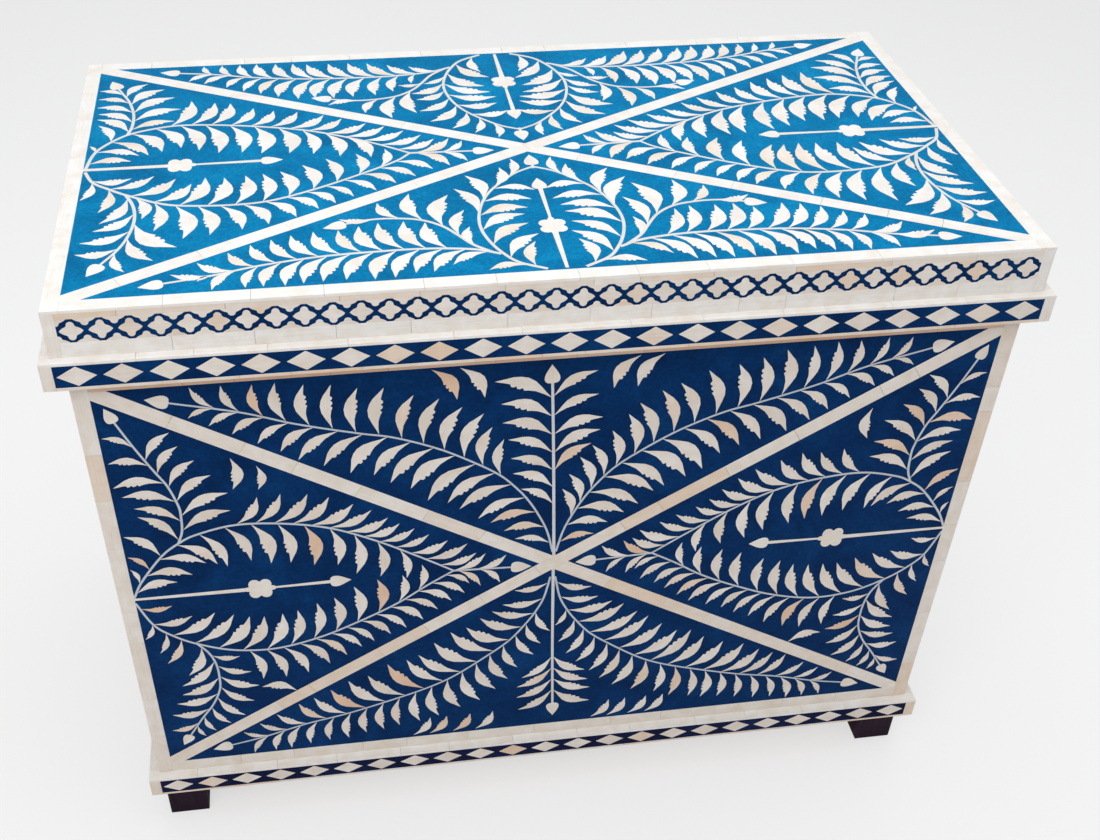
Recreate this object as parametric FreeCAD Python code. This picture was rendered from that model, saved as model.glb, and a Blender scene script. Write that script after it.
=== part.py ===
import FreeCAD, Part
import os
from math import atan2, degrees, hypot

from FreeCAD import Matrix, Placement, Rotation, Vector

# A dowry chest with a lift-up lid, laid with cut bone in coloured resin.
# Sizes are in millimetres. X runs along the width, Y from the front to the back, Z up.
# The origin is on the floor under the middle of the chest, and the front looks along -Y.

# Inlay layer glued to every outer face of the wooden carcass
bone_thickness = 3.0
resin_drop = 0.3
border_width = 17.0
strap_width = 17.0

# Feet
foot_width = 48.0
foot_height = 60.0
foot_inset = 15.0
foot_chamfer = 3.0

# Body
body_width = 966.0
body_depth = 528.0
body_height = 598.0
board_thickness = 20.0
board_rabbet = 10.0

# Bottom board, let into a groove all round
bottom_thickness = 15.0
bottom_recess = 12.0
bottom_tongue = 8.0
joint_clearance = 0.3

# Plinth moulding round the foot of the body
plinth_overhang = 12.0
plinth_height = 29.0
plinth_block = 13.0
plinth_bead = 3.0
plinth_diamond_pitch = 42.0
plinth_diamond_length = 36.0
plinth_diamond_height = 19.5

# Lid: a box of rails under a board, with a wider moulding round its lower edge
ledge_overhang = 19.0
ledge_height = 31.0
ledge_block = 12.0
ledge_bead = 3.5
ledge_diamond_pitch = 42.5
ledge_diamond_length = 37.0
ledge_diamond_height = 22.0
tier_setback = 10.0
tier_height = 51.0
tier_lower_strip = 16.0
tier_upper_strip = 6.5
tier_stile = 12.0
lid_board_thickness = 16.0
rail_thickness = 22.0
rail_rabbet = 11.0

# Butt hinges between the back rim of the body and the back rail of the lid
hinge_length = 60.0
hinge_from_end = 150.0
knuckle_count = 5
knuckle_gap = 0.3
barrel_radius = 3.5
barrel_clearance = 0.4
barrel_groove_clearance = 0.5
barrel_groove_end = 1.0
pin_radius = 1.5
pin_clearance = 0.05
pin_head_radius = 2.6
pin_head_height = 1.6
leaf_width = 18.0
leaf_thickness = 1.8
leaf_recess = 0.2
leaf_side_clearance = 0.2

# Overrun of every cut past the face that it leaves
overrun = 1.0

# Heights
plinth_top = foot_height + plinth_height
rim = plinth_top + body_height
ledge_top = rim + ledge_height
lid_top = ledge_top + tier_height

# Plan sizes of the faces that show and of the wood behind their inlay
plinth_width = body_width + 2 * plinth_overhang
plinth_depth = body_depth + 2 * plinth_overhang
ledge_width = body_width + 2 * ledge_overhang
ledge_depth = body_depth + 2 * ledge_overhang
tier_width = ledge_width - 2 * tier_setback
tier_depth = ledge_depth - 2 * tier_setback
resin_thickness = bone_thickness - resin_drop
carcass_width = body_width - 2 * bone_thickness
carcass_depth = body_depth - 2 * bone_thickness
rail_frame_width = tier_width - 2 * bone_thickness
rail_frame_depth = tier_depth - 2 * bone_thickness

# Hinge axis: on the joint between lid and body, just behind the back face
hinge_axis_y = body_depth / 2 + barrel_clearance + barrel_radius
leaf_seat = leaf_thickness + leaf_recess

# Each side of the chest: its direction to the right, its direction up and its outward normal
SIDES = {
    "front": (Vector(1, 0, 0), Vector(0, 0, 1), Vector(0, -1, 0)),
    "right": (Vector(0, 1, 0), Vector(0, 0, 1), Vector(1, 0, 0)),
    "back": (Vector(-1, 0, 0), Vector(0, 0, 1), Vector(0, 1, 0)),
    "left": (Vector(0, -1, 0), Vector(0, 0, 1), Vector(-1, 0, 0)),
}
TOP = (Vector(1, 0, 0), Vector(0, 1, 0), Vector(0, 0, 1))

nodes = {}


def add(name, shapes):
    """Collects solids under the name of the node that holds them."""
    nodes.setdefault(name, []).extend(shapes)


def block(x0, y0, z0, x1, y1, z1):
    """A box between two corners."""
    return Part.makeBox(x1 - x0, y1 - y0, z1 - z0, Vector(x0, y0, z0))


def slab(u0, v0, u1, v1, thickness):
    """A flat piece of inlay lying in the plane of its face."""
    return block(u0, v0, 0, u1, v1, thickness)


def prism(points, thickness):
    """A flat piece with a polygonal outline, standing on z = 0."""
    wire = Part.makePolygon([Vector(x, y, 0) for x, y in points + points[:1]])
    return Part.Face(wire).extrude(Vector(0, 0, thickness))


def on_face(shapes, axes, origin):
    """Turns inlay drawn flat so that it lies on a face of the chest."""
    right, up, normal = axes
    matrix = Matrix(
        right.x, up.x, normal.x, origin.x,
        right.y, up.y, normal.y, origin.y,
        right.z, up.z, normal.z, origin.z,
        0, 0, 0, 1)
    turned = []
    for shape in shapes:
        copy = shape.copy()
        copy.Placement = Placement(matrix).multiply(copy.Placement)
        turned.append(copy)
    return turned


def side_origin(side, width, depth, z):
    """The bottom middle of a side of a box of wood, where its inlay starts."""
    normal = SIDES[side][2]
    return Vector(normal.x * width / 2, normal.y * depth / 2, z)


def side_length(side, width, depth):
    """Inlay runs the full width at the front and back and between those two at the ends."""
    if side in ("front", "back"):
        return width
    return depth - 2 * bone_thickness


# Carcass

def boxed_boards(width, depth, thickness, rabbet, z0, z1):
    """Four boards: the front and back ones are rabbeted at their ends to take the end boards."""
    boards = {}
    x, y = width / 2, depth / 2
    housing = y - thickness
    for side, sign in (("front", -1), ("back", 1)):
        board = block(-x, housing, z0, x, y, z1)
        for end in (-x, x - thickness):
            board = board.cut(block(end, housing, z0, end + thickness, y - thickness + rabbet, z1))
        if sign < 0:
            board = board.mirror(Vector(), Vector(0, 1, 0))
        boards[side] = board
    reach = y - thickness + rabbet
    boards["left"] = block(-x, -reach, z0, thickness - x, reach, z1)
    boards["right"] = block(x - thickness, -reach, z0, x, reach, z1)
    return boards


def bottom_board():
    """The bottom lies in a groove run round the inside of the four boards."""
    x = carcass_width / 2 - board_thickness + bottom_tongue
    y = carcass_depth / 2 - board_thickness + bottom_tongue
    z = foot_height + bottom_recess
    board = block(-x, -y, z, x, y, z + bottom_thickness)
    xg, yg = x + joint_clearance, y + joint_clearance
    groove = block(-xg, -yg, z, xg, yg, z + bottom_thickness + joint_clearance)
    return board, groove


def mitred_strips(outer_width, outer_depth, thickness, z0, height):
    """A moulding of four strips, mitred at the corners."""
    x, y = outer_width / 2, outer_depth / 2
    xi, yi = x - thickness, y - thickness
    outlines = {
        "front": [(-x, -y), (x, -y), (xi, -yi), (-xi, -yi)],
        "right": [(x, -y), (x, y), (xi, yi), (xi, -yi)],
        "back": [(x, y), (-x, y), (-xi, yi), (xi, yi)],
        "left": [(-x, y), (-x, -y), (-xi, -yi), (-xi, yi)],
    }
    strips = {}
    for side, outline in outlines.items():
        strip = prism(outline, height)
        strip.translate(Vector(0, 0, z0))
        strips[side] = strip
    return strips


def foot():
    """A square block under the corner of the body, with a tenon inside the boards."""
    half = foot_width / 2
    leg = block(-half, -half, 0, half, half, foot_height)
    lower_edges = [edge for edge in leg.Edges if edge.BoundBox.ZMax < foot_chamfer]
    leg = leg.makeChamfer(foot_chamfer, lower_edges)
    shoulder = half - board_thickness - joint_clearance
    tenon = block(-half, -half, foot_height, shoulder, shoulder, foot_height + bottom_recess)
    return leg.fuse(tenon).removeSplitter()


# Inlay

def panel(width, height):
    """A field of resin crossed by two straps of bone inside a border of bone strips."""
    x = width / 2
    xi, y0, y1 = x - border_width, border_width, height - border_width
    border = [
        slab(-x, 0, -xi, height, bone_thickness),
        slab(xi, 0, x, height, bone_thickness),
        slab(-xi, 0, xi, y0, bone_thickness),
        slab(-xi, y1, xi, height, bone_thickness),
    ]
    field_width, field_height = 2 * xi, y1 - y0
    length = hypot(field_width, field_height)
    slope = degrees(atan2(field_height, field_width))
    middle = Vector(0, height / 2, 0)
    bars = []
    for angle in (slope, -slope):
        bar = slab(-length / 2, -strap_width / 2, length / 2, strap_width / 2, bone_thickness)
        bar.Placement = Placement(middle, Rotation(Vector(0, 0, 1), angle))
        bars.append(bar.common(slab(-xi, y0, xi, y1, bone_thickness)))
    straps = [bars[0]] + bars[1].cut(bars[0]).Solids
    field = slab(-xi, y0, xi, y1, resin_thickness).cut(Part.makeCompound(bars)).Solids
    return border, straps, field


def diamond_band(length, height, end_block, bead, pitch, diamond_length, diamond_height):
    """A band of resin with a row of bone diamonds let into it, over a thin bone bead."""
    x = length / 2
    xi = x - end_block
    blocks = [
        slab(-x, 0, -xi, height, bone_thickness),
        slab(xi, 0, x, height, bone_thickness),
    ]
    beading = slab(-xi, 0, xi, bead, bone_thickness)
    count = round(2 * xi / pitch)
    step = 2 * xi / count
    middle = (bead + height) / 2
    across, up = diamond_length / 2, diamond_height / 2
    diamonds = []
    for index in range(count):
        u = step * (index + 1 / 2) - xi
        points = [(u - across, middle), (u, middle - up), (u + across, middle), (u, middle + up)]
        diamonds.append(prism(points, bone_thickness))
    field = slab(-xi, bead, xi, height, resin_thickness).cut(Part.makeCompound(diamonds))
    return blocks, beading, diamonds, field.Solids


def chain_band(length, height):
    """The band of the upper tier: bone strips and stiles round a strip of resin."""
    x = length / 2
    xi = x - tier_stile
    upper = height - tier_upper_strip
    stiles = [
        slab(-x, 0, -xi, height, bone_thickness),
        slab(xi, 0, x, height, bone_thickness),
    ]
    lower_strip = slab(-xi, 0, xi, tier_lower_strip, bone_thickness)
    upper_strip = slab(-xi, upper, xi, height, bone_thickness)
    field = slab(-xi, tier_lower_strip, xi, upper, resin_thickness)
    return stiles, lower_strip, upper_strip, field


def ledge_strips(outer_width, outer_depth, strip_width, top):
    """Four flat bone strips on top of a moulding, butted at the corners."""
    x, y = outer_width / 2, outer_depth / 2
    xi, yi = x - strip_width, y - strip_width
    z = top - bone_thickness
    return [
        block(-x, -y, z, x, -yi, top),
        block(-x, yi, z, x, y, top),
        block(-x, -yi, z, -xi, yi, top),
        block(xi, -yi, z, x, yi, top),
    ]


# Hinges

def rod(radius, x0, x1):
    """A round bar along the hinge axis."""
    return Part.makeCylinder(radius, x1 - x0, Vector(x0, hinge_axis_y, rim), Vector(1, 0, 0))


def hinge_leaf(x_middle, direction, own_knuckles):
    """One leaf with its knuckles. Direction points from the joint into the wood it lies in."""
    x0 = x_middle - hinge_length / 2
    knuckle = hinge_length / knuckle_count
    near, far = sorted((rim + direction.z * leaf_recess, rim + direction.z * leaf_seat))
    leaf = block(x0, hinge_axis_y - leaf_width, near, x0 + hinge_length, hinge_axis_y, far)
    for index in range(knuckle_count):
        start, end = x0 + knuckle * index, x0 + knuckle * (index + 1)
        if index in own_knuckles:
            leaf = leaf.fuse(rod(barrel_radius, start + knuckle_gap / 2, end - knuckle_gap / 2))
        else:
            leaf = leaf.cut(rod(barrel_radius + knuckle_gap, start - knuckle_gap / 2, end + knuckle_gap / 2))
    leaf = leaf.cut(rod(pin_radius + pin_clearance, x0 - overrun, x0 + hinge_length + overrun))
    return leaf.removeSplitter()


def hinge_pin(x_middle):
    """The pin, with a low head at each end that keeps it in the barrel."""
    half = hinge_length / 2
    pin = rod(pin_radius, x_middle - half, x_middle + half)
    for start in (x_middle - half - pin_head_height, x_middle + half):
        pin = pin.fuse(rod(pin_head_radius, start, start + pin_head_height))
    return pin.removeSplitter()


def hinge_mortise(x_middle, direction):
    """The room for one leaf and, in the lid, the barrel, cut from wood and inlay alike."""
    half = hinge_length / 2 + leaf_side_clearance
    low, high = sorted((rim - direction.z * overrun, rim + direction.z * leaf_seat))
    seat = block(
        x_middle - half, hinge_axis_y - leaf_width - leaf_side_clearance, low,
        x_middle + half, hinge_axis_y, high)
    reach = hinge_length / 2 + pin_head_height + barrel_groove_end
    groove = rod(barrel_radius + barrel_groove_clearance, x_middle - reach, x_middle + reach)
    room = [seat]
    if direction.z > 0:
        room.append(groove)
    return room


def hinge_places():
    """The hinges stand at the same distance from both ends of the back board."""
    reach = carcass_width / 2 - hinge_from_end
    return {"left": -reach, "right": reach}


def cut_hinges(shape, direction):
    """Cuts the room for both hinges from a piece of the back."""
    for x_middle in hinge_places().values():
        for room in hinge_mortise(x_middle, direction):
            shape = shape.cut(room)
    return shape


# The chest, piece by piece

def build_body():
    """Boards, bottom, plinth and feet."""
    boards = boxed_boards(
        carcass_width, carcass_depth, board_thickness, board_rabbet, foot_height, rim)
    bottom, groove = bottom_board()
    down = Vector(0, 0, -1)
    for side, board in boards.items():
        board = board.cut(groove)
        if side == "back":
            board = cut_hinges(board, down)
        add(side + "_board", [board])
    add("bottom_board", [bottom])

    strips = mitred_strips(
        plinth_width - 2 * bone_thickness, plinth_depth - 2 * bone_thickness,
        plinth_overhang, foot_height, plinth_height - bone_thickness)
    for side, strip in strips.items():
        add("plinth_" + side, [strip])

    x = plinth_width / 2 - foot_inset - foot_width / 2
    y = plinth_depth / 2 - foot_inset - foot_width / 2
    corners = {"front_right": (1, -1), "front_left": (-1, -1), "back_right": (1, 1), "back_left": (-1, 1)}
    for corner, (sx, sy) in corners.items():
        piece = foot()
        if sx < 0:
            piece = piece.mirror(Vector(), Vector(1, 0, 0))
        if sy < 0:
            piece = piece.mirror(Vector(), Vector(0, 1, 0))
        piece.translate(Vector(sx * x, sy * y, 0))
        add("foot_" + corner, [piece])


def build_body_inlay():
    """The inlaid panels of the four sides and the inlay of the plinth."""
    down = Vector(0, 0, -1)
    for side, axes in SIDES.items():
        border, straps, field = panel(side_length(side, body_width, body_depth), body_height)
        origin = side_origin(side, carcass_width, carcass_depth, plinth_top)
        border = on_face(border, axes, origin)
        if side == "back":
            border = [cut_hinges(strip, down) for strip in border]
        add(side + "_border", border)
        add(side + "_straps", on_face(straps, axes, origin))
        add(side + "_field", on_face(field, axes, origin))

        blocks, beading, diamonds, band = diamond_band(
            side_length(side, plinth_width, plinth_depth), plinth_height - bone_thickness,
            plinth_block, plinth_bead, plinth_diamond_pitch, plinth_diamond_length, plinth_diamond_height)
        origin = side_origin(
            side, plinth_width - 2 * bone_thickness, plinth_depth - 2 * bone_thickness, foot_height)
        add("plinth_end_blocks", on_face(blocks, axes, origin))
        add("plinth_beads", on_face([beading], axes, origin))
        add("plinth_diamonds", on_face(diamonds, axes, origin))
        add("plinth_band", on_face(band, axes, origin))
    add("plinth_ledge", ledge_strips(
        plinth_width, plinth_depth, plinth_overhang + bone_thickness, plinth_top))


def build_lid():
    """Lid board, rails and moulding."""
    board_bottom = lid_top - bone_thickness - lid_board_thickness
    rails = boxed_boards(
        rail_frame_width, rail_frame_depth, rail_thickness, rail_rabbet, rim, board_bottom)
    upwards = Vector(0, 0, 1)
    rails["back"] = cut_hinges(rails["back"], upwards)
    for side, rail in rails.items():
        add("lid_rail_" + side, [rail])
    x, y = rail_frame_width / 2, rail_frame_depth / 2
    add("lid_board", [block(-x, -y, board_bottom, x, y, lid_top - bone_thickness)])

    strips = mitred_strips(
        ledge_width - 2 * bone_thickness, ledge_depth - 2 * bone_thickness,
        tier_setback, rim, ledge_height - bone_thickness)
    strips["back"] = cut_hinges(strips["back"], upwards)
    for side, strip in strips.items():
        add("lid_moulding_" + side, [strip])


def build_lid_inlay():
    """The inlaid top, the chain band of the upper tier and the diamond band of the moulding."""
    border, straps, field = panel(tier_width, tier_depth)
    origin = Vector(0, -tier_depth / 2, lid_top - bone_thickness)
    add("top_border", on_face(border, TOP, origin))
    add("top_straps", on_face(straps, TOP, origin))
    add("top_field", on_face(field, TOP, origin))

    for side, axes in SIDES.items():
        stiles, lower_strip, upper_strip, chain = chain_band(
            side_length(side, tier_width, tier_depth), tier_height - bone_thickness)
        origin = side_origin(side, rail_frame_width, rail_frame_depth, ledge_top)
        add("lid_stiles", on_face(stiles, axes, origin))
        add("lid_lower_strips", on_face([lower_strip], axes, origin))
        add("lid_upper_strips", on_face([upper_strip], axes, origin))
        add("lid_chain_band", on_face([chain], axes, origin))

        blocks, beading, diamonds, band = diamond_band(
            side_length(side, ledge_width, ledge_depth), ledge_height - bone_thickness,
            ledge_block, ledge_bead, ledge_diamond_pitch, ledge_diamond_length, ledge_diamond_height)
        origin = side_origin(
            side, ledge_width - 2 * bone_thickness, ledge_depth - 2 * bone_thickness, rim)
        add("ledge_end_blocks", on_face(blocks, axes, origin))
        add("ledge_beads", on_face([beading], axes, origin))
        add("ledge_diamonds", on_face(diamonds, axes, origin))
        add("ledge_band", on_face(band, axes, origin))
    add("lid_ledge", ledge_strips(
        ledge_width, ledge_depth, tier_setback + bone_thickness, ledge_top))


def build_hinges():
    """Two butt hinges with their pins."""
    down, upwards = Vector(0, 0, -1), Vector(0, 0, 1)
    body_knuckles = range(0, knuckle_count, 2)
    lid_knuckles = range(1, knuckle_count, 2)
    for side, x_middle in hinge_places().items():
        add("hinge_body_leaf_" + side, [hinge_leaf(x_middle, down, body_knuckles)])
        add("hinge_lid_leaf_" + side, [hinge_leaf(x_middle, upwards, lid_knuckles)])
        add("hinge_pins", [hinge_pin(x_middle)])


os.makedirs("parts", exist_ok=True)
build_body()
build_body_inlay()
build_lid()
build_lid_inlay()
build_hinges()
for name, shapes in nodes.items():
    whole = shapes[0] if len(shapes) == 1 else Part.makeCompound(shapes)
    whole.exportStep("parts/" + name + ".step")
print(len(nodes), "nodes,", sum(len(shapes) for shapes in nodes.values()), "solids")
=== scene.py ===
import math
import random

import bmesh
import bpy
import numpy as np
from mathutils import Matrix, Vector


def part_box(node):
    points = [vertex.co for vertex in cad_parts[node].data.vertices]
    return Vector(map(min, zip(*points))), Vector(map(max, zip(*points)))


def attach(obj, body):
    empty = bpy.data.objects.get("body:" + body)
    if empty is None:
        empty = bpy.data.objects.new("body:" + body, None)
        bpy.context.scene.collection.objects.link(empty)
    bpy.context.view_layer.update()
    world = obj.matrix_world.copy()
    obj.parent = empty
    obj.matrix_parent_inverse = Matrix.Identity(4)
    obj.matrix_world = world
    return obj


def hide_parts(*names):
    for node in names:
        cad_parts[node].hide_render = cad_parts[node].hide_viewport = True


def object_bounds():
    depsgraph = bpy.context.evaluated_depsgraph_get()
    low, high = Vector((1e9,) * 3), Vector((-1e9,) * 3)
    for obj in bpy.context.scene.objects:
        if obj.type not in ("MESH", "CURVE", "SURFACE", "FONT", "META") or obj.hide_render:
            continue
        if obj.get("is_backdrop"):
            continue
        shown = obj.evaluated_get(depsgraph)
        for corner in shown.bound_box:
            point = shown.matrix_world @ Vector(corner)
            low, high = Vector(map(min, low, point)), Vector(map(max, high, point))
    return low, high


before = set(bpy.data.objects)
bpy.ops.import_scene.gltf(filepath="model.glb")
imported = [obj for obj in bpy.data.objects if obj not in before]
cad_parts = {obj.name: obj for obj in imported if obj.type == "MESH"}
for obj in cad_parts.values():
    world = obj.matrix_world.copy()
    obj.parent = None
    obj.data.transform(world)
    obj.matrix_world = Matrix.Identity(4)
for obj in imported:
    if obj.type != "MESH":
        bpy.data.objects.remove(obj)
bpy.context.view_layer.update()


# Boards, rails and mouldings: plain mango wood, planed and oiled, glued up at rabbets and mitres.
# They show inside the chest, under it and on the rims; inlay covers the rest.

def new_finish(name):
    """A finish, with its node tree and its shader."""
    finish = bpy.data.materials.new(name)
    finish.use_nodes = True
    return finish, finish.node_tree, finish.node_tree.nodes["Principled BSDF"]


def feed(tree, socket, value):
    """Sets a socket to a number or a colour, or joins another node's output to it."""
    if isinstance(value, bpy.types.NodeSocket):
        tree.links.new(value, socket)
    elif socket.type == "RGBA":
        socket.default_value = (*value, 1)
    else:
        socket.default_value = value


def add_node(tree, kind, output, inputs, **traits):
    """A new node with its traits and inputs set; gives one of its outputs."""
    node = tree.nodes.new("ShaderNode" + kind)
    for trait, value in traits.items():
        setattr(node, trait, value)
    for name, value in inputs.items():
        feed(tree, node.inputs[name], value)
    return node.outputs[output]


def coordinates(tree, scale):
    """Object coordinates, stretched by an own scale on each axis."""
    place = add_node(tree, "TexCoord", "Object", {})
    return add_node(tree, "Mapping", "Vector", {"Vector": place, "Scale": scale})


def cloud(tree, vector, scale, detail=3.0, rough=0.55, twist=0.0):
    """Soft random variation from 0 to 1."""
    return add_node(tree, "TexNoise", "Fac", {
        "Vector": vector, "Scale": scale, "Detail": detail, "Roughness": rough, "Distortion": twist})


def shades(tree, value, stops):
    """Turns a value into a colour or a grey by stops of place and colour."""
    ramp = tree.nodes.new("ShaderNodeValToRGB")
    marks = ramp.color_ramp.elements
    while len(marks) < len(stops):
        marks.new(0.5)
    for mark, (where, colour) in zip(marks, stops):
        mark.position = where
        mark.color = (*colour, 1) if isinstance(colour, tuple) else (colour, colour, colour, 1)
    feed(tree, ramp.inputs["Fac"], value)
    return ramp.outputs["Color"]


def mixed(tree, amount, first, second, way="MIX"):
    """Two colours mixed; the amount is a number or the output of a node."""
    inputs = {"Factor": amount, "A": first, "B": second}
    return add_node(tree, "Mix", "Result", inputs, data_type="RGBA", blend_type=way)


def darkened(tree, colour, amount, value, stops):
    """A colour multiplied by the shades of a value."""
    return mixed(tree, amount, colour, shades(tree, value, stops), "MULTIPLY")


def surface(tree, shader, colour, roughness, layers):
    """Gives a shader colour, roughness and bumps, each a height and how high it stands in metres."""
    feed(tree, shader.inputs["Base Color"], colour)
    feed(tree, shader.inputs["Roughness"], roughness)
    below = {}
    for height, distance in layers:
        inputs = {"Strength": 1.0, "Distance": distance, "Height": height, **below}
        below = {"Normal": add_node(tree, "Bump", "Normal", inputs)}
    feed(tree, shader.inputs["Normal"], below["Normal"])


def wood_finish(name, along, pale, brown, dark, gloss, shine=0.5):
    """Oiled or stained wood with its grain along one axis."""
    finish, tree, shader = new_finish(name)
    places = []
    for across, lengthwise in ((14.0, 1.4), (160.0, 6.0), (420.0, 16.0)):
        scale = [across] * 3
        scale[along] = lengthwise
        places.append(coordinates(tree, scale))
    bands = cloud(tree, places[0], 1.0, 5.0, 0.6, 1.6)
    fibres = cloud(tree, places[1], 1.0, 4.0, 0.6)
    pores = cloud(tree, places[2], 1.0, 2.0, 0.5)
    colour = shades(tree, bands, [(0.3, dark), (0.48, brown), (0.66, pale)])
    colour = darkened(tree, colour, 0.55, fibres, [(0.3, 0.72), (0.7, 1.0)])
    colour = darkened(tree, colour, 0.75, pores, [(0.3, 0.45), (0.4, 1.0)])
    roughness = shades(tree, fibres, [(0.2, gloss + 0.12), (0.8, gloss - 0.05)])
    feed(tree, shader.inputs["Specular IOR Level"], shine)
    surface(tree, shader, colour, roughness, [(fibres, 0.00018), (pores, 0.00012)])
    return finish


def coat(finish, *nodes):
    """Puts a finish on CAD nodes that stay in view."""
    for node in nodes:
        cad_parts[node].material_slots[0].material = finish


mango = ((0.5, 0.31, 0.165), (0.37, 0.205, 0.1), (0.23, 0.115, 0.052))
coat(
    wood_finish("mango_wood_long", 0, *mango, 0.56),
    "front_board", "back_board", "bottom_board", "plinth_front", "plinth_back",
    "lid_board", "lid_rail_front", "lid_rail_back", "lid_moulding_front", "lid_moulding_back")
coat(
    wood_finish("mango_wood_short", 1, *mango, 0.56),
    "left_board", "right_board", "plinth_left", "plinth_right",
    "lid_rail_left", "lid_rail_right", "lid_moulding_left", "lid_moulding_right")


# Feet: square blocks of dark stained hardwood, turned end grain down, with a short tenon that is
# glued inside the corner of the boards. Their arrises are rubbed round and the lower ones cut back.

foot_height = 0.06
tenon_side = 0.0277
foot_arris = 0.0012
foot_toe = 0.003
stained_wood = wood_finish(
    "stained_foot_wood", 2, (0.03, 0.009, 0.031), (0.019, 0.005, 0.021), (0.01, 0.002, 0.012), 0.42, 0.12)


def box_between(mesh, corner, opposite):
    """A box between two opposite corners."""
    low, high = (Vector(found) for found in np.sort((corner, opposite), axis=0))
    place = Matrix.Translation((low + high) / 2) @ Matrix.Diagonal((*(high - low), 1))
    bmesh.ops.create_cube(mesh, size=1.0, matrix=place)


def rub_down(mesh, edges, width, segments, clamped=False):
    """Takes the sharpness off some edges."""
    bmesh.ops.bevel(
        mesh, geom=edges, offset=width, offset_type="OFFSET", affect="EDGES",
        segments=segments, profile=0.5, material=-1, clamp_overlap=clamped)


def put_in_scene(name, data):
    thing = bpy.data.objects.new(name, data)
    bpy.context.scene.collection.objects.link(thing)
    return thing


def with_finish(mesh, name, finish):
    """Makes a mesh into a named object with one finish."""
    data = bpy.data.meshes.new(name)
    mesh.to_mesh(data)
    mesh.free()
    data.materials.append(finish)
    return put_in_scene(name, data)


def finished(mesh, name, finish, body):
    """Makes a mesh into a named piece of the chest that rides on a body."""
    piece = with_finish(mesh, name, finish)
    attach(piece, body)
    return piece


for corner in ("front_right", "front_left", "back_right", "back_left"):
    low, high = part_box("foot_" + corner)
    block = bmesh.new()
    box_between(block, low, (high.x, high.y, foot_height))
    toe = [edge for edge in block.edges if max(vert.co.z for vert in edge.verts) < foot_toe]
    rub_down(block, toe, foot_toe, 2)
    upright = [edge for edge in block.edges if abs(edge.verts[0].co.z - edge.verts[1].co.z) > foot_height / 2]
    rub_down(block, upright, foot_arris, 3)
    inner = [low[axis] if low[axis] > 0 else high[axis] for axis in (0, 1)]
    outer = [place + math.copysign(tenon_side, place) for place in inner]
    box_between(block, (*inner, foot_height), (*outer, high.z))
    foot = finished(block, "foot_block_" + corner, stained_wood, "chest")
    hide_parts("foot_" + corner)


# Resin: coloured paste trowelled round the bone, left to set and rubbed down until the bone shows.
# It stays a hair lower than the bone, mottled, with fine dust of bone in it. All of it is one resin; the
# lid's is painted paler as painted light from above, and the plinth's painted almost black as painted shade.

def resin_finish(name, deep, body, light):
    finish, tree, shader = new_finish(name)
    place = coordinates(tree, (1, 1, 1))
    patches = cloud(tree, place, 16.0, 4.0, 0.6, 0.6)
    grit = cloud(tree, place, 260.0, 4.0, 0.65)
    dust = cloud(tree, place, 1500.0, 2.0, 0.6)
    colour = shades(tree, patches, [(0.3, deep), (0.52, body), (0.74, light)])
    colour = darkened(tree, colour, 0.8, grit, [(0.3, 0.68), (0.52, 1.0), (0.72, 1.3)])
    colour = mixed(tree, shades(tree, dust, [(0.7, 0.0), (0.82, 0.16)]), colour, (0.06, 0.34, 0.5))
    roughness = shades(tree, grit, [(0.25, 0.3), (0.75, 0.46)])
    feed(tree, shader.inputs["Specular IOR Level"], 0.03)
    surface(tree, shader, colour, roughness, [(patches, 0.0004), (grit, 0.00006), (dust, 0.00002)])
    return finish


coat(
    resin_finish("blue_resin_body", (0.0007, 0.0205, 0.089), (0.001, 0.03, 0.122), (0.0018, 0.044, 0.16)),
    "front_field", "right_field", "back_field", "left_field", "ledge_band", "lid_chain_band")
coat(
    # Painted light: the same resin made paler for the lid's top, standing in for the bright light from above.
    resin_finish("blue_resin_painted_light_lid", (0.0008, 0.138, 0.318), (0.001, 0.193, 0.418), (0.002, 0.25, 0.505)),
    "top_field")
coat(
    # Painted shade: the same resin made almost black for the plinth's band, standing in for the shade low on
    # the chest.
    resin_finish("blue_resin_painted_shade_plinth", (0.004, 0.0075, 0.036), (0.0055, 0.0115, 0.054), (0.0075, 0.019, 0.08)),
    "plinth_band")


# Borders and straps: flat strips of camel bone, 3 mm thick, sawn in lengths of 50 to 105 mm and
# butted end to end. Two straps cross each panel; the one from lower left to upper right runs through.

bone_depth = 0.003
usual_length = 0.078
seam = 0.00025
eased = 0.0002
strap_width = 0.017
leaf_seat = 0.002
hinge_reach = 0.0302
hinge_place = 0.33
pick = random.Random(7)


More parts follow.
